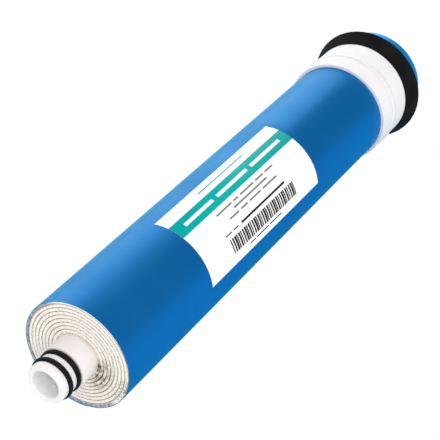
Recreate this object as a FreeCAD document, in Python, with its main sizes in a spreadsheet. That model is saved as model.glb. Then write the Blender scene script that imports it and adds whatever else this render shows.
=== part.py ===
import FreeCAD, Part
import math
import os
import Sketcher

# Reverse-osmosis membrane element, home size. Millimetres and degrees.
# The axis is +X. The origin is on it, in the roll's end face on the product side.
# The product nose points along -X, the feed end along +X, and +Z is up.

SIZES = [
    # the roll: sheets wound on the tube, inside a skin of tape
    ("roll_length", 254.0),
    ("roll_diameter", 46.5),
    ("wrap_thickness", 0.25),
    ("lap_thickness", 0.2),
    ("lap_start_angle", -98.0),
    ("lap_end_angle", -75.0),
    ("turns", 8.0),
    ("leaf_thickness", 0.5),
    ("leaf_recess", 0.3),
    ("leaf_end_angle", 204.0),
    ("feather_angle", 60.0),
    # the permeate tube
    ("tube_diameter", 18.4),
    ("tube_bore", 11.8),
    ("stub_length", 20.0),
    ("stub_diameter", 17.8),
    ("stub_chamfer", 0.8),
    ("hole_diameter", 3.0),
    ("first_hole", 37.0),
    ("hole_spacing", 90.0),
    ("holes_in_row", 3),
    ("plug_length", 8.0),
    ("plug_recess", 1.0),
    # the product nose and its two rings
    ("nose_length", 19.6),
    ("nose_diameter", 16.4),
    ("lead_in", 1.2),
    ("tip_wall", 1.4),
    ("mouth_chamfer", 0.4),
    ("groove_width", 2.5),
    ("groove_diameter", 13.7),
    ("ring_section", 2.1),
    ("ring_diameter", 17.9),
    ("front_ring", 15.1),
    ("rear_ring", 10.3),
    # the label
    ("label_start", 58.5),
    ("label_length", 88.5),
    ("label_thickness", 0.12),
    ("label_low_angle", 82.0),
    ("label_high_angle", 173.5),
    # the collar and the brine seal
    ("collar_start", 211.2),
    ("collar_length", 24.4),
    ("collar_diameter", 49.2),
    ("seal_length", 8.2),
    ("seal_diameter", 55.8),
    ("seal_heel", 2.6),
    ("seal_leg", 1.1),
    ("leg_setback", 0.5),
    ("lip_thickness", 1.1),
]

doc = FreeCAD.newDocument("ro_element")
sheet = doc.addObject("Spreadsheet::Sheet", "Sizes")
for row, (alias, value) in enumerate(SIZES, start=1):
    sheet.set(f"A{row}", alias.replace("_", " "))
    sheet.set(f"B{row}", str(value))
    sheet.setAlias(f"B{row}", alias)
doc.recompute()


def size(expression):
    """The present value of an expression on the sheet's aliases."""
    return float(sheet.evalExpression(expression))


# Expressions that several pieces share
TUBE = "Sizes.tube_diameter / 2"
BORE = "Sizes.tube_bore / 2"
NOSE = "Sizes.nose_diameter / 2"
STUB = "Sizes.stub_diameter / 2"
ROLL = "Sizes.roll_diameter / 2"
CORE = "(Sizes.roll_diameter / 2 - Sizes.wrap_thickness)"
TUBE_END = "(Sizes.roll_length + Sizes.stub_length)"
COLLAR_END = "(Sizes.collar_start + Sizes.collar_length)"


def new_body(label):
    body = doc.addObject("PartDesign::Body", label)
    body.Label = label
    return body


def new_sketch(body, name, plane):
    """An empty sketch on one of the body's own origin planes."""
    sketch = body.newObject("Sketcher::SketchObject", name)
    origin_plane = next(f for f in body.Origin.OriginFeatures if f.Role == plane)
    sketch.AttachmentSupport = [(origin_plane, "")]
    sketch.MapMode = "FlatFace"
    return sketch


def bind(sketch, kind, arguments, expression):
    """Add a constraint whose value follows an expression on the sheet."""
    index = sketch.addConstraint(Sketcher.Constraint(kind, *arguments, size(expression)))
    name = f"{kind}{index}"
    sketch.renameConstraint(index, name)
    sketch.setExpression(f"Constraints.{name}", expression)


def bind_point(sketch, geometry, end, across, along):
    """Hold a point at two expressions, measured from the sketch's origin."""
    for kind, axis, expression in (("DistanceX", -2, across), ("DistanceY", -1, along)):
        if abs(size(expression)) < 1e-9:
            sketch.addConstraint(Sketcher.Constraint("PointOnObject", geometry, end, axis))
        else:
            bind(sketch, kind, (-1, 1, geometry, end), expression)


def polygon(body, name, plane, corners):
    """A closed outline of straight sides through corners given as pairs of expressions."""
    sketch = new_sketch(body, name, plane)
    points = [FreeCAD.Vector(size(x), size(y), 0) for x, y in corners]
    for start, end in zip(points, points[1:] + points[:1]):
        sketch.addGeometry(Part.LineSegment(start, end))
    for index in range(len(points)):
        following = (index + 1) % len(points)
        sketch.addConstraint(Sketcher.Constraint("Coincident", index, 2, following, 1))
    for index, (x, y) in enumerate(corners):
        bind_point(sketch, index, 1, x, y)
    return sketch


def sector(body, name, inner, outer, low, high):
    """Part of a ring about the X axis, between two angles counted from +Y towards +Z."""
    sketch = new_sketch(body, name, "YZ_Plane")
    centre, normal = FreeCAD.Vector(0, 0, 0), FreeCAD.Vector(0, 0, 1)
    start, end = math.radians(size(low)), math.radians(size(high))
    radii = (size(inner), size(outer))
    for radius in radii:
        circle = Part.Circle(centre, normal, radius)
        sketch.addGeometry(Part.ArcOfCircle(circle, start, end))
    for angle in (start, end):
        ray = FreeCAD.Vector(math.cos(angle), math.sin(angle), 0)
        sketch.addGeometry(Part.LineSegment(ray * radii[0], ray * radii[1]))
    inner_arc, outer_arc, low_side, high_side = range(4)
    for arc, expression in ((inner_arc, inner), (outer_arc, outer)):
        sketch.addConstraint(Sketcher.Constraint("Coincident", arc, 3, -1, 1))
        bind(sketch, "Radius", (arc,), expression)
    for side, end_of_arc, expression in ((low_side, 1, low), (high_side, 2, high)):
        sketch.addConstraint(Sketcher.Constraint("Coincident", side, 1, inner_arc, end_of_arc))
        sketch.addConstraint(Sketcher.Constraint("Coincident", side, 2, outer_arc, end_of_arc))
        sketch.addConstraint(Sketcher.Constraint("PointOnObject", -1, 1, side))
        index = sketch.addConstraint(
            Sketcher.Constraint("Angle", side, math.radians(size(expression)))
        )
        sketch.renameConstraint(index, f"Angle{index}")
        sketch.setExpression(f"Constraints.Angle{index}", f"({expression}) * 1 deg")
    return sketch


def circles(body, name, plane, rings):
    """Circles given as (across, along, diameter), each an expression."""
    sketch = new_sketch(body, name, plane)
    normal = FreeCAD.Vector(0, 0, 1)
    for index, (across, along, diameter) in enumerate(rings):
        centre = FreeCAD.Vector(size(across), size(along), 0)
        sketch.addGeometry(Part.Circle(centre, normal, size(diameter) / 2))
        bind(sketch, "Diameter", (index,), diameter)
        bind_point(sketch, index, 3, across, along)
    return sketch


def turned(body, name, sketch, kind="Revolution"):
    """A full turn of the sketch about the X axis, added or, as a Groove, taken away."""
    feature = body.newObject(f"PartDesign::{kind}", name)
    feature.Profile = sketch
    feature.ReferenceAxis = (sketch, ["H_Axis"])
    feature.Angle = 360
    doc.recompute()
    return feature


def padded(body, name, sketch, length):
    feature = body.newObject("PartDesign::Pad", name)
    feature.Profile = sketch
    feature.setExpression("Length", length)
    doc.recompute()
    return feature


def edge_names(feature, x, radius):
    """The round edges of a turned feature that lie at x and at this radius."""
    names = []
    for number, edge in enumerate(feature.Shape.Edges, start=1):
        curve = edge.Curve
        if not isinstance(curve, Part.Circle):
            continue
        if abs(curve.Center.x - x) < 1e-4 and abs(curve.Radius - radius) < 1e-4:
            names.append(f"Edge{number}")
    return names


def chamfered(body, name, base, x, radius, amount):
    """A chamfer on the round edge at x and this radius."""
    feature = body.newObject("PartDesign::Chamfer", name)
    feature.Base = (base, edge_names(base, size(x), size(radius)))
    feature.setExpression("Size", amount)
    doc.recompute()
    return feature


def permeate_tube():
    """The core tube: product nose, shoulder, perforated length and turned-down rear stub."""
    body = new_body("permeate_tube")
    tip = "-Sizes.nose_length"
    shoulder = "-(Sizes.rear_ring - Sizes.groove_width / 2)"
    outline = [
        (tip, BORE),
        (tip, f"{BORE} + Sizes.tip_wall"),
        (f"{tip} + Sizes.lead_in", NOSE),
        (shoulder, NOSE),
        (shoulder, TUBE),
        ("Sizes.roll_length", TUBE),
        ("Sizes.roll_length", STUB),
        (TUBE_END, STUB),
        (TUBE_END, BORE),
    ]
    last = turned(body, "TubeBlank", polygon(body, "TubeOutline", "XY_Plane", outline))
    last = chamfered(body, "MouthChamfer", last, tip, BORE, "Sizes.mouth_chamfer")
    chamfered(body, "StubChamfer", last, TUBE_END, STUB, "Sizes.stub_chamfer")
    for name in ("front", "rear"):
        ring_groove(body, name)
    hole_row(body)
    return body


def ring_groove(body, name):
    """A square groove for one ring, cut into the nose."""
    centre = f"Sizes.{name}_ring"
    low = f"-({centre} + Sizes.groove_width / 2)"
    high = f"-({centre} - Sizes.groove_width / 2)"
    floor = "Sizes.groove_diameter / 2"
    clear = f"{TUBE} + 1"
    outline = [(low, floor), (low, clear), (high, clear), (high, floor)]
    before = body.Shape.Volume
    sketch = polygon(body, f"{name}GrooveOutline", "XY_Plane", outline)
    turned(body, f"{name}Groove", sketch, "Groove")
    if body.Shape.Volume >= before:
        raise RuntimeError(f"the {name} groove cut nothing")


def hole_row(body):
    """The row of holes through the tube's upper wall, along its length inside the roll."""
    hole = ("Sizes.first_hole", "0", "Sizes.hole_diameter")
    sketch = circles(body, "HoleOutline", "XY_Plane", [hole])
    before = body.Shape.Volume
    pocket = body.newObject("PartDesign::Pocket", "Hole")
    pocket.Profile = sketch
    pocket.Type = "ThroughAll"
    pocket.Reversed = True
    doc.recompute()
    drilled = before - body.Shape.Volume
    pattern = body.newObject("PartDesign::LinearPattern", "Holes")
    pattern.Originals = [pocket]
    pattern.Direction = (sketch, ["H_Axis"])
    pattern.setExpression("Occurrences", "Sizes.holes_in_row")
    pattern.setExpression("Length", "Sizes.hole_spacing * (Sizes.holes_in_row - 1)")
    body.Tip = pattern
    doc.recompute()
    if drilled <= 0 or body.Shape.Volume >= before - 2 * drilled:
        raise RuntimeError("the row of holes cut nothing")


def tube_plug():
    """The plug that closes the tube's rear end."""
    body = new_body("tube_plug")
    outer = f"({TUBE_END} - Sizes.plug_recess)"
    inner = f"({outer} - Sizes.plug_length)"
    outline = [(inner, "0"), (inner, BORE), (outer, BORE), (outer, "0")]
    turned(body, "Plug", polygon(body, "PlugOutline", "XY_Plane", outline))
    return body


def nose_ring(name):
    """A rubber ring squeezed flat in its groove, proud of the nose all round."""
    body = new_body(f"{name}_o_ring")
    low = f"-(Sizes.{name}_ring + Sizes.ring_section / 2)"
    high = f"-(Sizes.{name}_ring - Sizes.ring_section / 2)"
    floor = "Sizes.groove_diameter / 2"
    crown = "Sizes.ring_diameter / 2"
    outline = [(low, floor), (low, crown), (high, crown), (high, floor)]
    turned(body, f"{name}Ring", polygon(body, f"{name}RingSection", "XY_Plane", outline))
    return body


def outer_wrap():
    """The tape skin of the roll, with a lap along its underside that ends at the collar."""
    body = new_body("outer_wrap")
    rings = [("0", "0", f"2 * {CORE}"), ("0", "0", "Sizes.roll_diameter")]
    padded(body, "Skin", circles(body, "SkinSection", "YZ_Plane", rings), "Sizes.roll_length")
    raised = f"{ROLL} + Sizes.lap_thickness"
    sketch = sector(
        body, "LapSection", ROLL, raised, "Sizes.lap_start_angle", "Sizes.lap_end_angle"
    )
    padded(body, "Lap", sketch, "Sizes.collar_start")
    return body


def label():
    """A thin sheet on the wrap, square to the axis."""
    body = new_body("label")
    raised = f"{ROLL} + Sizes.label_thickness"
    sketch = sector(
        body, "LabelSection", ROLL, raised, "Sizes.label_low_angle", "Sizes.label_high_angle"
    )
    sketch.setExpression("AttachmentOffset.Base.z", "Sizes.label_start")
    padded(body, "LabelSheet", sketch, "Sizes.label_length")
    return body


def seal_collar():
    """The white ring on the wrap that backs the brine seal."""
    body = new_body("seal_collar")
    rings = [("0", "0", "Sizes.roll_diameter"), ("0", "0", "Sizes.collar_diameter")]
    sketch = circles(body, "CollarSection", "YZ_Plane", rings)
    sketch.setExpression("AttachmentOffset.Base.z", "Sizes.collar_start")
    padded(body, "Collar", sketch, "Sizes.collar_length")
    return body


def brine_seal():
    """A rubber cup round the wrap: a heel, a straight inner leg and a flared outer lip."""
    body = new_body("brine_seal")
    end = f"({COLLAR_END} + Sizes.seal_length)"
    lip = "Sizes.seal_diameter / 2"
    leg = f"{ROLL} + Sizes.seal_leg"
    outline = [
        (COLLAR_END, ROLL),
        (COLLAR_END, "Sizes.collar_diameter / 2"),
        (end, lip),
        (end, f"{lip} - Sizes.lip_thickness"),
        (f"{COLLAR_END} + Sizes.seal_heel", leg),
        (f"{end} - Sizes.leg_setback", leg),
        (f"{end} - Sizes.leg_setback", ROLL),
    ]
    turned(body, "Seal", polygon(body, "SealOutline", "XY_Plane", outline))
    return body


def winding_pitch():
    """The thickness of one turn of leaf and spacer together."""
    return (size(CORE) - size(TUBE)) / (size("Sizes.turns") + 1)


def winding_point(turn, offset):
    """Where the spiral crosses the Y axis, before the sheets are turned to their place."""
    side = 1 if round(2 * turn) % 2 == 0 else -1
    return side * (size(TUBE) + winding_pitch() * turn + offset)


def half_turn(turn, offset, share=1.0):
    """One half turn of the spiral as an arc, or the first share of it.

    Even halves are centred a quarter of the pitch to one side of the axis and odd halves to
    the other side. All the sheets use the same two centres, so that their faces meet exactly.
    """
    start = winding_point(turn, offset)
    end = winding_point(turn + 0.5, offset)
    centre = (start + end) / 2
    radius = abs(start - centre)
    base = 0 if start > 0 else 180
    first, middle, last = (
        FreeCAD.Vector(
            0,
            centre + radius * math.cos(math.radians(base + 180 * part)),
            radius * math.sin(math.radians(base + 180 * part)),
        )
        for part in (0, share / 2, share)
    )
    return Part.Arc(first, middle, last).toShape()


def spiral(first_turn, turns, offset):
    """Whole half turns of the spiral, end to end."""
    return [half_turn(first_turn + 0.5 * half, offset) for half in range(round(2 * turns))]


def circle_arc(radius, low, high):
    """An arc about the axis, between two angles in degrees."""
    points = [
        FreeCAD.Vector(0, radius * math.cos(math.radians(a)), radius * math.sin(math.radians(a)))
        for a in (low, (low + high) / 2, high)
    ]
    return Part.Arc(*points).toShape()


def straight(start, end):
    return Part.LineSegment(start, end).toShape()


def ends(edges):
    """The first and the last point of a run of edges that all go the same way."""
    return edges[0].firstVertex().Point, edges[-1].lastVertex().Point


def sheet_between(inner, outer):
    """The section of a sheet between two runs of edges, closed at both ends."""
    inner_start, inner_end = ends(inner)
    outer_start, outer_end = ends(outer)
    caps = [straight(inner_start, outer_start), straight(outer_end, inner_end)]
    return Part.Face(Part.Wire(Part.__sortEdges__(inner + outer + caps)))


def wound(name, inner, outer, start="0"):
    """A wound sheet that stops this far short of both ends of the roll."""
    length = size(f"Sizes.roll_length - 2 * {start}")
    feature = doc.addObject("Part::Feature", name)
    feature.Label = name
    feature.Shape = sheet_between(inner, outer).extrude(FreeCAD.Vector(length, 0, 0))
    angle = size("Sizes.leaf_end_angle") - 360 * (size("Sizes.turns") % 1)
    turn = FreeCAD.Rotation(FreeCAD.Vector(1, 0, 0), angle)
    feature.Placement = FreeCAD.Placement(FreeCAD.Vector(size(start), 0, 0), turn)
    return feature


def membrane_leaf():
    """The sealed leaf, wound over the spacer, its glued edges a little below the roll's ends."""
    turns = size("Sizes.turns")
    inner = spiral(0, turns, winding_pitch() - size("Sizes.leaf_thickness"))
    outer = spiral(0, turns, winding_pitch())
    return wound("membrane_leaf", inner, outer, "Sizes.leaf_recess")


def feed_spacer():
    """The spacer wound from the tube outwards. Its last turn, past the leaf's end, fairs the roll."""
    turns = size("Sizes.turns")
    thickness = winding_pitch() - size("Sizes.leaf_thickness")
    last_share = 1 - size("Sizes.feather_angle") / 180
    inner = spiral(0, turns, 0)
    inner += [half_turn(turns, 0), half_turn(turns + 0.5, 0, last_share)]
    step = straight(
        FreeCAD.Vector(0, winding_point(turns, thickness), 0),
        FreeCAD.Vector(0, winding_point(turns, winding_pitch()), 0),
    )
    leaf_end = 360 * (turns % 1)
    tip = inner[-1].lastVertex().Point
    past_leaf_end = (math.degrees(math.atan2(tip.z, tip.y)) - leaf_end) % 360
    outer = spiral(0, turns, thickness) + [step]
    outer += [
        circle_arc(size(CORE), leaf_end, leaf_end + 180),
        circle_arc(size(CORE), leaf_end + 180, leaf_end + past_leaf_end),
    ]
    return wound("feed_spacer", inner, outer)


def permeate_carrier():
    """The carrier's lead wraps, which fill between the round tube and the leaf's first turn."""
    feather = size("Sizes.feather_angle")
    second = half_turn(0, 0)
    curve = second.Curve
    start = math.radians(feather)
    centre_offset = curve.Center.y
    radius = curve.Radius
    reach = centre_offset * math.cos(start) + math.sqrt(
        radius**2 - (centre_offset * math.sin(start)) ** 2
    )
    begin = FreeCAD.Vector(0, reach * math.cos(start), reach * math.sin(start))
    seen_from_centre = math.atan2(begin.z, begin.y - centre_offset)
    middle = (seen_from_centre + math.pi) / 2
    crown = FreeCAD.Vector(
        0, centre_offset + radius * math.cos(middle), radius * math.sin(middle)
    )
    outer = [Part.Arc(begin, crown, second.lastVertex().Point).toShape(), half_turn(0.5, 0)]
    inner = [circle_arc(size(TUBE), feather, 180), circle_arc(size(TUBE), 180, 360)]
    return wound("permeate_carrier", inner, outer, "Sizes.leaf_recess")


pieces = [
    permeate_tube(),
    tube_plug(),
    nose_ring("front"),
    nose_ring("rear"),
    permeate_carrier(),
    membrane_leaf(),
    feed_spacer(),
    outer_wrap(),
    label(),
    seal_collar(),
    brine_seal(),
]
doc.recompute()

for item in doc.Objects:
    failed = {"Invalid", "Error"} & set(item.State)
    if failed:
        raise RuntimeError(f"{item.Label} is {', '.join(failed)}")
for piece in pieces:
    if piece.Shape.isNull() or not piece.Shape.isValid() or len(piece.Shape.Solids) != 1:
        raise RuntimeError(f"{piece.Label} is not one valid solid")

os.makedirs("parts", exist_ok=True)
for piece in pieces:
    piece.Shape.exportStep(f"parts/{piece.Label}.step")
    print(piece.Label, round(piece.Shape.Volume, 1), "mm3")
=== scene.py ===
import math

import bmesh
import bpy
from mathutils import Matrix, Vector

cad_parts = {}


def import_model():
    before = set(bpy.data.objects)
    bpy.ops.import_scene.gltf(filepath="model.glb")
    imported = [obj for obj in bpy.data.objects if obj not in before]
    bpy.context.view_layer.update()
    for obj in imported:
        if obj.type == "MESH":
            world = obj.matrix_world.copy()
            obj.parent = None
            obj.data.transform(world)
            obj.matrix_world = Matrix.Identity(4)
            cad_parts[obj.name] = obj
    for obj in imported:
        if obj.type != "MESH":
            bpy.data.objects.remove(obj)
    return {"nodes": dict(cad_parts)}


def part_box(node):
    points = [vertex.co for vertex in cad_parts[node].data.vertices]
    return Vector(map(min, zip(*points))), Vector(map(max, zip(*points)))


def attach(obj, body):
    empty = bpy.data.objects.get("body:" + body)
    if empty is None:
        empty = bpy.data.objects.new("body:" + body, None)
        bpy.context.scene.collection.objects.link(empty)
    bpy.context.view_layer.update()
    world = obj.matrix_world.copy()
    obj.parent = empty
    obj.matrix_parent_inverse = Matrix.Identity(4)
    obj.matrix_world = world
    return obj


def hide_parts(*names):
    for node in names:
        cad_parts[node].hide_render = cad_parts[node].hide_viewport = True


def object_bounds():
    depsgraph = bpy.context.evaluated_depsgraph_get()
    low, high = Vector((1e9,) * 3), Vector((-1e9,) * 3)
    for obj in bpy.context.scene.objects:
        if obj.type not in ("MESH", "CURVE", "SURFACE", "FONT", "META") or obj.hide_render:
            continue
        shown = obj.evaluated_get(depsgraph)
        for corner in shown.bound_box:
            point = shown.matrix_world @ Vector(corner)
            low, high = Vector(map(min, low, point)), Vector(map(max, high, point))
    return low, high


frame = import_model()
cad_low, cad_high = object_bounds()
NODES = frame["nodes"]
MM = 0.001

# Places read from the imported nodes, in metres. The axis is +X, and angles run from +Y to +Z.
_, roll_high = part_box("outer_wrap")
label_low, label_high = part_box("label")
collar_low, collar_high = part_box("seal_collar")
LABEL_R = label_high[2]
COLLAR_R = collar_high[1]


# ---------------------------------------------------------------- node helpers

def new_material(name):
    mat = bpy.data.materials.new(name)
    mat.use_nodes = True
    return mat, mat.node_tree, mat.node_tree.nodes["Principled BSDF"]


def add(tree, kind, **settings):
    node = tree.nodes.new(kind)
    for key, value in settings.items():
        if key in node.inputs:
            node.inputs[key].default_value = value
        else:
            setattr(node, key, value)
    return node


def coordinates(tree, scale=(1.0, 1.0, 1.0)):
    place = add(tree, "ShaderNodeTexCoord")
    mapping = add(tree, "ShaderNodeMapping", Scale=scale)
    tree.links.new(place.outputs["Object"], mapping.inputs["Vector"])
    return mapping.outputs["Vector"]


def noise(tree, vector, scale, detail=3.0, roughness=0.5):
    node = add(tree, "ShaderNodeTexNoise", Scale=scale, Detail=detail, Roughness=roughness)
    tree.links.new(vector, node.inputs["Vector"])
    return node.outputs["Fac"]


def ramp(tree, factor, stops):
    node = add(tree, "ShaderNodeValToRGB")
    elements = node.color_ramp.elements
    while len(elements) < len(stops):
        elements.new(0.5)
    for element, (position, colour) in zip(elements, stops):
        element.position = position
        element.color = (*colour, 1.0)
    tree.links.new(factor, node.inputs["Fac"])
    return node.outputs["Color"]


def span(tree, factor, low, high, start=0.0, stop=1.0):
    node = add(tree, "ShaderNodeMapRange")
    node.inputs["From Min"].default_value = start
    node.inputs["From Max"].default_value = stop
    node.inputs["To Min"].default_value = low
    node.inputs["To Max"].default_value = high
    tree.links.new(factor, node.inputs["Value"])
    return node.outputs["Result"]


def math_node(tree, operation, first, second=None):
    node = add(tree, "ShaderNodeMath", operation=operation)
    for socket, value in zip(node.inputs, (first, second)):
        if value is None:
            continue
        if isinstance(value, (int, float)):
            socket.default_value = value
        else:
            tree.links.new(value, socket)
    return node.outputs["Value"]


def mix(tree, factor, first, second):
    node = add(tree, "ShaderNodeMix", data_type="RGBA")
    sockets = (node.inputs[0], node.inputs[6], node.inputs[7])
    for socket, value in zip(sockets, (factor, first, second)):
        if isinstance(value, (int, float)):
            socket.default_value = value
        elif isinstance(value, tuple):
            socket.default_value = (*value, 1.0)
        else:
            tree.links.new(value, socket)
    return node.outputs[2]


def bump(tree, shader, height, distance, strength=1.0):
    node = add(tree, "ShaderNodeBump", Strength=strength, Distance=distance)
    tree.links.new(height, node.inputs["Height"])
    tree.links.new(node.outputs["Normal"], shader.inputs["Normal"])


def linear(red, green, blue):
    """An sRGB colour out of 255 as the linear colour a shader takes."""
    out = []
    for part in (red, green, blue):
        c = part / 255.0
        out.append(c / 12.92 if c <= 0.04045 else ((c + 0.055) / 1.055) ** 2.4)
    return tuple(out)


def along_radius_angle(tree):
    """The place along the axis and the distance from it in metres, and the angle in degrees."""
    place = add(tree, "ShaderNodeTexCoord")
    parts = add(tree, "ShaderNodeSeparateXYZ")
    tree.links.new(place.outputs["Object"], parts.inputs["Vector"])
    y, z = parts.outputs["Y"], parts.outputs["Z"]
    squares = math_node(tree, "ADD", math_node(tree, "MULTIPLY", y, y),
                        math_node(tree, "MULTIPLY", z, z))
    angle = math_node(tree, "DEGREES", math_node(tree, "ARCTAN2", z, y))
    return parts.outputs["X"], math_node(tree, "SQRT", squares), angle


# ---------------------------------------------------------------- materials

# Radii in metres between which the bore's brighter white, painted light that lifts the shade in the
# bore, gives way to the skin's
BORE_PAINTED_LIGHT_EDGE = (0.0060, 0.0064)
# Places along the axis between which the tape is painted brighter, as painted light, at the collar's
# feed-side face
TAPE_PAINTED_LIGHT_SPAN = (0.234, 0.236)
# The painted shade in the gaps between the turns beside the tube: its radii in metres, and the angle,
# half width and softness of its side
GAP_SHADE_REACH = (0.0135, 0.0175)
GAP_SHADE_SIDE = (206.0, 34.0, 0.12)
# The greyed rim and the patch of painted shade in the creases of the end face, in the same terms
RIM_EDGE = (0.0213, 0.0219)
RIM_SIDE = (-35.0, 98.0, 0.1)
CREASE_REACH = (0.0185, 0.0205)
CREASE_SIDE = (204.0, 14.0, 0.016)


def moulded_plastic(name, colour, shade, rough, speckle, refraction=1.36):
    """White moulded plastic: faint flow marks, a fine skin and a little dulling."""
    mat, tree, shader = new_material(name)
    _, radius, _ = along_radius_angle(tree)
    flow = noise(tree, coordinates(tree, (30.0, 90.0, 90.0)), 1.0, 4.0)
    skin = ramp(tree, flow, [(0.35, shade), (0.65, colour)])
    # The bore is painted a brighter white than the outside: painted light that lifts the shade deep in
    # the bore
    bore_painted_light = span(tree, radius, 1.0, 0.0, *BORE_PAINTED_LIGHT_EDGE)
    tree.links.new(mix(tree, bore_painted_light, skin, (0.97, 0.97, 0.97)), shader.inputs["Base Color"])
    handling = noise(tree, coordinates(tree), 160.0, 5.0)
    dulled = span(tree, handling, rough - 0.07, rough + 0.09, 0.3, 0.7)
    tree.links.new(dulled, shader.inputs["Roughness"])
    grain = noise(tree, coordinates(tree), speckle, 2.0)
    bump(tree, shader, grain, 0.00002, 0.5)
    shader.inputs["IOR"].default_value = refraction
    shader.inputs["Subsurface Weight"].default_value = 0.25
    shader.inputs["Subsurface Radius"].default_value = (1.0, 0.95, 0.9)
    shader.inputs["Subsurface Scale"].default_value = 0.003
    return mat


def rubber(name, colour, rough, refraction=1.14):
    """Black moulded rubber with a bloom and a fine matt grain."""
    mat, tree, shader = new_material(name)
    bloom = noise(tree, coordinates(tree), 120.0, 4.0)
    pale = tuple(1.5 * part + 0.002 for part in colour)
    tree.links.new(ramp(tree, bloom, [(0.35, colour), (0.8, pale)]), shader.inputs["Base Color"])
    tree.links.new(span(tree, bloom, rough - 0.06, rough + 0.1, 0.3, 0.7), shader.inputs["Roughness"])
    grain = noise(tree, coordinates(tree), 2600.0, 3.0)
    bump(tree, shader, grain, 0.00003, 0.6)
    shader.inputs["IOR"].default_value = refraction
    return mat


def wrapping_tape(name):
    """Blue vinyl tape drawn tight: stretch marks run round it, and it gleams softly."""
    mat, tree, shader = new_material(name)
    stretch = noise(tree, coordinates(tree, (90.0, 14.0, 14.0)), 1.0, 2.0)
    cloud = noise(tree, coordinates(tree, (14.0, 30.0, 30.0)), 1.0, 2.0)
    body = ramp(tree, cloud, [(0.3, (0.0022, 0.168, 0.49)), (0.7, (0.0028, 0.184, 0.53))])
    # Past the seal collar the tape is painted a brighter blue: painted light standing in for light and
    # reflection the lamps don't give there
    along, _, _ = along_radius_angle(tree)
    painted_light_past_collar = span(tree, along, 0.0, 1.0, *TAPE_PAINTED_LIGHT_SPAN)
    tape = mix(tree, painted_light_past_collar, body, (0.004, 0.33, 0.86))
    tree.links.new(tape, shader.inputs["Base Color"])
    tree.links.new(span(tree, stretch, 0.36, 0.43, 0.3, 0.7), shader.inputs["Roughness"])
    bump(tree, shader, stretch, 0.00004, 0.15)
    shader.inputs["Metallic"].default_value = 0.45
    shader.inputs["IOR"].default_value = 1.38
    shader.inputs["Specular Tint"].default_value = (0.6, 1.0, 0.9, 1.0)
    return mat


def printed_film(name, colour, rough=0.42):
    """Ink or coated paper: nearly flat, with a paper tooth under the gloss."""
    mat, tree, shader = new_material(name)
    tooth = noise(tree, coordinates(tree), 900.0, 4.0)
    darker = tuple(0.95 * part for part in colour)
    tree.links.new(ramp(tree, tooth, [(0.3, darker), (0.7, colour)]), shader.inputs["Base Color"])
    tree.links.new(span(tree, tooth, rough - 0.05, rough + 0.08, 0.3, 0.7), shader.inputs["Roughness"])
    bump(tree, shader, tooth, 0.00001, 0.4)
    shader.inputs["IOR"].default_value = 1.15
    return mat


def near_angle(tree, angle, middle, half_width, softness):
    """1 where the angle about the axis is within half_width of middle, 0 well outside."""
    turned_by = math_node(tree, "RADIANS", math_node(tree, "SUBTRACT", angle, middle))
    closeness = math_node(tree, "COSINE", turned_by)
    edge = math.cos(math.radians(half_width))
    return span(tree, closeness, 0.0, 1.0, edge - softness, edge + softness)


def painted_gap_shade(tree, radius, angle):
    """Painted shade in the gaps between the turns beside the tube, on its lower side."""
    close = span(tree, radius, 1.0, 0.0, *GAP_SHADE_REACH)
    side = near_angle(tree, angle, *GAP_SHADE_SIDE)
    blotch = noise(tree, coordinates(tree), 520.0, 3.0, 0.6)
    return math_node(tree, "MULTIPLY", math_node(tree, "MULTIPLY", close, side),
                     span(tree, blotch, 0.0, 1.0, 0.38, 0.56))


def net_spacer(name):
    """White net seen end-on: cut strands, painted shade in the gaps beside the tube and in the creases,
    and greyed at the rim.
    """
    mat, tree, shader = new_material(name)
    _, radius, angle = along_radius_angle(tree)
    strands = noise(tree, coordinates(tree), 1100.0, 3.0, 0.6)
    pale = ramp(tree, strands, [(0.3, linear(214, 205, 192)), (0.48, linear(246, 242, 236)),
                                (0.7, linear(253, 252, 250))])
    # Brown painted shade in the gaps between the turns beside the tube
    gap_shade_weight = math_node(tree, "MULTIPLY", painted_gap_shade(tree, radius, angle), 0.7)
    with_gap_shade = mix(tree, gap_shade_weight, pale, linear(140, 112, 82))
    outside = span(tree, radius, 0.0, 1.0, *RIM_EDGE)
    low_side = near_angle(tree, angle, *RIM_SIDE)
    smear = noise(tree, coordinates(tree), 700.0, 3.0, 0.7)
    rim = math_node(tree, "MULTIPLY", math_node(tree, "MULTIPLY", outside, low_side),
                    span(tree, smear, 0.45, 1.0, 0.35, 0.6))
    greyed = mix(tree, rim, with_gap_shade, linear(112, 122, 142))
    cells = add(tree, "ShaderNodeTexVoronoi", feature="DISTANCE_TO_EDGE", Scale=900.0)
    tree.links.new(coordinates(tree), cells.inputs["Vector"])
    folds = math_node(tree, "MULTIPLY", span(tree, radius, 0.0, 1.0, *CREASE_REACH),
                      near_angle(tree, angle, *CREASE_SIDE))
    lines = span(tree, cells.outputs["Distance"], 0.8, 0.0, 0.03, 0.10)
    # Dark lines along the creases are painted shade in the folds
    crease_shade_lines = math_node(tree, "MULTIPLY", folds, lines)
    with_crease_shade = mix(tree, crease_shade_lines, greyed, linear(70, 74, 70))
    tree.links.new(with_crease_shade, shader.inputs["Base Color"])
    shader.inputs["Roughness"].default_value = 0.6
    bump(tree, shader, strands, 0.0002, 0.6)
    shader.inputs["Specular IOR Level"].default_value = 0.3
    return mat


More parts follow.
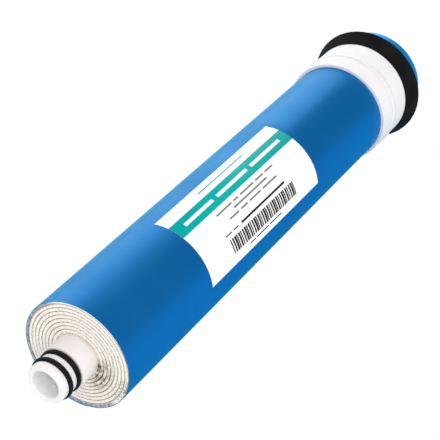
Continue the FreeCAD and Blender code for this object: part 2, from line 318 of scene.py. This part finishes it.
def glued_leaf(name, pale, dark):
    """The trimmed edge of a leaf: tan cloth soaked in glue, uneven along its length."""
    mat, tree, shader = new_material(name)
    _, radius, angle = along_radius_angle(tree)
    fibre = noise(tree, coordinates(tree), 1300.0, 3.0, 0.65)
    soak = noise(tree, coordinates(tree), 330.0, 3.0, 0.6)
    cloth = ramp(tree, soak, [(0.35, dark), (0.62, pale)])
    thread = ramp(tree, fibre, [(0.35, dark), (0.6, pale)])
    woven = mix(tree, 0.5, cloth, thread)
    # Brown painted shade in the gaps between the turns beside the tube
    with_gap_shade = mix(tree, painted_gap_shade(tree, radius, angle), woven, linear(84, 58, 34))
    tree.links.new(with_gap_shade, shader.inputs["Base Color"])
    tree.links.new(span(tree, soak, 0.45, 0.75, 0.3, 0.7), shader.inputs["Roughness"])
    bump(tree, shader, fibre, 0.0002, 0.8)
    shader.inputs["Specular IOR Level"].default_value = 0.3
    return mat


MATERIALS = {
    "permeate_tube": moulded_plastic("tube_plastic", linear(243, 239, 237), linear(238, 234, 232),
                                     0.38, 1500.0),
    "tube_plug": moulded_plastic("plug_plastic", linear(238, 236, 233), linear(228, 225, 221),
                                 0.45, 1200.0),
    "seal_collar": moulded_plastic("collar_plastic", linear(240, 238, 239), linear(236, 233, 234),
                                   0.34, 1500.0, 1.2),
    "brine_seal": rubber("seal_rubber", linear(25, 24, 24), 0.5, 1.07),
    "front_o_ring": rubber("ring_rubber", linear(27, 27, 29), 0.42),
    "outer_wrap": wrapping_tape("blue_tape"),
    "label": printed_film("label_paper", linear(252, 252, 253), 0.42),
    "feed_spacer": net_spacer("net_spacer"),
    "membrane_leaf": glued_leaf("leaf_edge", linear(214, 196, 164), linear(156, 130, 94)),
    "permeate_carrier": glued_leaf("carrier_edge", linear(240, 232, 218),
                                   linear(196, 174, 142)),
}
MATERIALS["rear_o_ring"] = MATERIALS["front_o_ring"]

for node_name, material in MATERIALS.items():
    mesh = NODES[node_name].data
    mesh.materials.clear()
    mesh.materials.append(material)


# ---------------------------------------------------------------- pieces

def mesh_object(name, bm, material):
    bmesh.ops.recalc_face_normals(bm, faces=bm.faces)
    mesh = bpy.data.meshes.new(name)
    bm.to_mesh(mesh)
    bm.free()
    for face in mesh.polygons:
        face.use_smooth = True
    mesh.materials.append(material)
    obj = bpy.data.objects.new(name, mesh)
    bpy.context.scene.collection.objects.link(obj)
    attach(obj, "root")
    return obj


def on_axis(x, radius, degrees):
    a = math.radians(degrees)
    return Vector((x, radius * math.cos(a), radius * math.sin(a)))


def revolved(name, section, material, steps=160):
    """A closed (x, radius) section swept once round the axis."""
    bm = bmesh.new()
    rings = [[bm.verts.new(on_axis(x, r, 360.0 * i / steps)) for x, r in section]
             for i in range(steps)]
    count = len(section)
    for i in range(steps):
        here, following = rings[i], rings[(i + 1) % steps]
        for j in range(count):
            k = (j + 1) % count
            bm.faces.new((here[j], here[k], following[k], following[j]))
    return mesh_object(name, bm, material)


def rounded_section(x0, x1, r0, r1, across=24, power=2.0):
    """A superellipse that fills the box x0..x1 by r0..r1."""
    cx, cr = (x0 + x1) / 2, (r0 + r1) / 2
    hx, hr = (x1 - x0) / 2, (r1 - r0) / 2
    out = []
    for i in range(across):
        t = 2 * math.pi * i / across
        c, s = math.cos(t), math.sin(t)
        out.append((cx + hx * math.copysign(abs(c) ** (2 / power), c),
                    cr + hr * math.copysign(abs(s) ** (2 / power), s)))
    return out


def curved_patch(bm, x0, x1, low, high, inner, outer):
    """A thin bent panel on the roll, from angle low to high."""
    steps = max(2, round((high - low) / 1.5))
    rows = []
    for i in range(steps + 1):
        angle = low + (high - low) * i / steps
        rows.append([bm.verts.new(on_axis(x, r, angle)) for x, r in
                     ((x0, outer), (x1, outer), (x1, inner), (x0, inner))])
    for here, following in zip(rows, rows[1:]):
        for j in range(4):
            k = (j + 1) % 4
            bm.faces.new((here[j], here[k], following[k], following[j]))
    bm.faces.new(rows[0])
    bm.faces.new(reversed(rows[-1]))


# The two rubber rings, with rounded sections in place of the flat-sided ones of the CAD
RING_SECTION = 2.1 * MM
RING_SQUARENESS = 3.2
for node_name in ("front_o_ring", "rear_o_ring"):
    low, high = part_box(node_name)
    outer_r = high[1]
    section = rounded_section(low[0], high[0], outer_r - RING_SECTION, outer_r, 32,
                              RING_SQUARENESS)
    ring = revolved(f"{node_name}_rubber", section, MATERIALS["front_o_ring"])
    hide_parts(node_name)

# A low bead runs round the collar about halfway along
BEAD_HALF = 1.3 * MM
BEAD_RISE = 0.5 * MM
bead_x = collar_low[0] + 0.47 * (collar_high[0] - collar_low[0])
bead_section = rounded_section(bead_x - BEAD_HALF, bead_x + BEAD_HALF,
                               COLLAR_R - BEAD_RISE, COLLAR_R + BEAD_RISE)
# The bead is a brighter white than the collar: a painted highlight along it, on top of its gloss
bead_highlight_plastic = moulded_plastic("bead_highlight_plastic", linear(250, 249, 249), linear(246, 244, 245),
                               0.27, 1500.0, 1.9)
revolved("collar_bead", bead_section, bead_highlight_plastic)

# The label's print: a teal band, plain rules where small print would be, and a block of bars
INK = dict(inner=LABEL_R - 0.04 * MM, outer=LABEL_R + 0.02 * MM)
teal = printed_film("teal_ink", linear(0, 176, 170), 0.4)
grey = printed_film("grey_ink", linear(120, 124, 128), 0.45)
black = printed_film("black_ink", linear(30, 31, 33), 0.4)
left, right = label_low[0], label_high[0]
length = right - left

bm = bmesh.new()
curved_patch(bm, left, right, 97.8, 115.5, **INK)
mesh_object("label_teal_band", bm, teal)


def dashes(bm, middle, half_height, start, lengths, gap):
    """A row of plain strokes along the label, in fractions of its length."""
    place = start
    for share in lengths:
        curved_patch(bm, left + place * length, left + (place + share) * length,
                     middle - half_height, middle + half_height, **INK)
        place += share + gap


bm = bmesh.new()
dashes(bm, 121.5, 0.85, 0.24, (0.13, 0.04, 0.12, 0.07, 0.07), 0.02)
dashes(bm, 127.0, 0.85, 0.36, (0.30,), 0.02)
dashes(bm, 132.5, 0.85, 0.29, (0.08, 0.06, 0.10, 0.13), 0.02)
mesh_object("label_rules", bm, grey)

bm = bmesh.new()
dashes(bm, 142.8, 1.1, 0.34, (0.40,), 0.02)
dashes(bm, 142.8, 0.6, 0.20, (0.05, 0.04), 0.02)
dashes(bm, 166.8, 0.7, 0.34, (0.05, 0.11, 0.11), 0.012)
mesh_object("label_stroke", bm, black)

INK_OVER = dict(inner=LABEL_R, outer=LABEL_R + 0.03 * MM)
bm = bmesh.new()
for start, stop in ((0.07, 0.31), (0.345, 0.615), (0.65, 0.93)):
    curved_patch(bm, left + start * length, left + stop * length, 104.7, 108.7,
                 **INK_OVER)
mesh_object("label_band_rule", bm, MATERIALS["label"])

bm = bmesh.new()
dashes(bm, 90.5, 0.7, 0.30, (0.40,), 0.02)
mesh_object("label_top_rule", bm, teal)

bm = bmesh.new()
bar_start, bar_stop = left + 0.21 * length, left + 0.80 * length
BARS = 34
step = (bar_stop - bar_start) / BARS
for i in range(BARS):
    wide = 0.48 + 0.34 * ((i * 7) % 5) / 4
    x = bar_start + i * step
    curved_patch(bm, x, x + wide * step, 148.0, 162.8, **INK)
mesh_object("label_bars", bm, black)


# ---------------------------------------------------------------- stage, light and camera

def stage_floor():
    bm = bmesh.new()
    z = cad_low[2]
    corners = [(-3, -3), (3, -3), (3, 3), (-3, 3)]
    bm.faces.new([bm.verts.new((x, y, z)) for x, y in corners])
    mesh = bpy.data.meshes.new("floor")
    bm.to_mesh(mesh)
    bm.free()
    mat, tree, shader = new_material("floor_white")
    out = tree.nodes["Material Output"]
    shader.inputs["Base Color"].default_value = (0.85, 0.85, 0.85, 1.0)
    shader.inputs["Roughness"].default_value = 0.95
    seen = add(tree, "ShaderNodeLightPath")
    glow = add(tree, "ShaderNodeEmission")
    glow.inputs["Color"].default_value = (1.0, 1.0, 1.0, 1.0)
    glow.inputs["Strength"].default_value = 1.0
    blend = add(tree, "ShaderNodeMixShader")
    tree.links.new(seen.outputs["Is Camera Ray"], blend.inputs[0])
    tree.links.new(shader.outputs[0], blend.inputs[1])
    tree.links.new(glow.outputs[0], blend.inputs[2])
    # Glossy surfaces mirror it deep blue on the camera's side and pale blue on the far side
    place = add(tree, "ShaderNodeNewGeometry")
    parts = add(tree, "ShaderNodeSeparateXYZ")
    tree.links.new(place.outputs["Position"], parts.inputs["Vector"])
    far_side = span(tree, parts.outputs["Y"], 0.0, 1.0, -0.02, 0.08)
    tint = add(tree, "ShaderNodeEmission")
    blues = mix(tree, far_side, (0.03, 0.43, 0.76), (0.5, 1.1, 1.35))
    tree.links.new(blues, tint.inputs["Color"])
    mirrored = add(tree, "ShaderNodeMixShader")
    tree.links.new(seen.outputs["Is Glossy Ray"], mirrored.inputs[0])
    tree.links.new(blend.outputs[0], mirrored.inputs[1])
    tree.links.new(tint.outputs[0], mirrored.inputs[2])
    tree.links.new(mirrored.outputs[0], out.inputs["Surface"])
    mesh.materials.append(mat)
    obj = bpy.data.objects.new("floor", mesh)
    bpy.context.scene.collection.objects.link(obj)


def aimed(obj, place, target):
    """Puts a lamp or camera at a place, looking at a target, level across."""
    forward = (Vector(target) - Vector(place)).normalized()
    obj.matrix_world = Matrix.Translation(place) @ forward.to_track_quat("-Z", "Y").to_matrix().to_4x4()


def area_light(name, place, target, size_x, size_y, power):
    lamp = bpy.data.lights.new(name, "AREA")
    lamp.shape = "RECTANGLE"
    lamp.size = size_x
    lamp.size_y = size_y
    lamp.energy = power
    obj = bpy.data.objects.new(name, lamp)
    bpy.context.scene.collection.objects.link(obj)
    aimed(obj, place, target)
    return obj


HOOP_RADIUS = 1.2
HOOP_EDGES = (0.08, 0.14)


def glint_hoop():
    """A thin bright hoop over the roll, seen only by glossy rays and meant for the collar's bead."""
    bm = bmesh.new()
    pairs = []
    for i in range(29):
        turn_at = math.radians(24.0 + 5.0 * i)
        y, z = HOOP_RADIUS * math.cos(turn_at), HOOP_RADIUS * math.sin(turn_at)
        pairs.append([bm.verts.new((x, y, z)) for x in HOOP_EDGES])
    for here, following in zip(pairs, pairs[1:]):
        bm.faces.new((here[0], here[1], following[1], following[0]))
    mesh = bpy.data.meshes.new("glint_hoop")
    bm.to_mesh(mesh)
    bm.free()
    mat, tree, _ = new_material("hoop_glow")
    glow = add(tree, "ShaderNodeEmission")
    glow.inputs["Strength"].default_value = 6.0
    tree.links.new(glow.outputs[0], tree.nodes["Material Output"].inputs["Surface"])
    mesh.materials.append(mat)
    obj = bpy.data.objects.new("glint_hoop", mesh)
    bpy.context.scene.collection.objects.link(obj)
    obj.visible_camera = False
    obj.visible_diffuse = False
    obj.visible_shadow = False
    obj.visible_transmission = False


def world(strength):
    scene = bpy.context.scene
    scene.world = bpy.data.worlds.new("studio")
    scene.world.use_nodes = True
    tree = scene.world.node_tree
    background = tree.nodes["Background"]
    background.inputs["Color"].default_value = (1.0, 1.0, 1.0, 1.0)
    background.inputs["Strength"].default_value = strength
    seen = add(tree, "ShaderNodeLightPath")
    white = add(tree, "ShaderNodeBackground")
    white.inputs["Color"].default_value = (1.0, 1.0, 1.0, 1.0)
    white.inputs["Strength"].default_value = 1.0
    blend = add(tree, "ShaderNodeMixShader")
    tree.links.new(seen.outputs["Is Camera Ray"], blend.inputs[0])
    tree.links.new(background.outputs[0], blend.inputs[1])
    tree.links.new(white.outputs[0], blend.inputs[2])
    # The studio round the object is dark where glossy surfaces mirror it
    dark = add(tree, "ShaderNodeBackground")
    dark.inputs["Color"].default_value = (0.02, 0.02, 0.02, 1.0)
    mirrored = add(tree, "ShaderNodeMixShader")
    tree.links.new(seen.outputs["Is Glossy Ray"], mirrored.inputs[0])
    tree.links.new(blend.outputs[0], mirrored.inputs[1])
    tree.links.new(dark.outputs[0], mirrored.inputs[2])
    tree.links.new(mirrored.outputs[0], tree.nodes["World Output"].inputs["Surface"])


stage_floor()
glint_hoop()
world(0.86)
middle = Vector((roll_high[0] / 2, 0.0, 0.0))
# A tall panel past the feed end, which the tape's upper left side mirrors
panel_way = Vector((0.715, 0.57, 0.40)).normalized()
area_light("panel", middle + 2.0 * panel_way, middle, 2.1, 1.6, 20.0)
# A soft lamp beside the camera, which reaches into the bore
area_light("front", (-1.15, -0.70, 0.75), (0.0, 0.0, 0.0), 1.5, 0.6, 6.8)
# A weak fill low on the camera's side, with no mirror image of its own
fill = area_light("fill", (0.10, -1.25, 0.15), middle, 1.0, 0.4, 2.4)
fill.visible_glossy = False

# The camera looks down at the product end, with the roll running away to the upper right
ELEVATION, HEADING = math.radians(33.72), math.radians(30.69)
level = Vector((math.cos(HEADING), math.sin(HEADING), 0.0))
across = Vector((math.sin(HEADING), -math.cos(HEADING), 0.0))
rise = Vector((0.0, 0.0, 1.0))
forward = math.cos(ELEVATION) * level - math.sin(ELEVATION) * rise
upward = math.sin(ELEVATION) * level + math.cos(ELEVATION) * rise
camera = bpy.data.cameras.new("camera")
camera.sensor_width = 36.0
camera.lens = 113.84
camera.clip_start = 0.01
camera_object = bpy.data.objects.new("camera", camera)
bpy.context.scene.collection.objects.link(camera_object)
eye = 0.05250 * across + 0.04969 * upward - 0.51020 * forward
turn = Matrix((across, upward, -forward)).transposed().to_4x4()
camera_object.matrix_world = Matrix.Translation(eye) @ turn
bpy.context.scene.camera = camera_object
bpy.context.scene.view_settings.view_transform = "Standard"
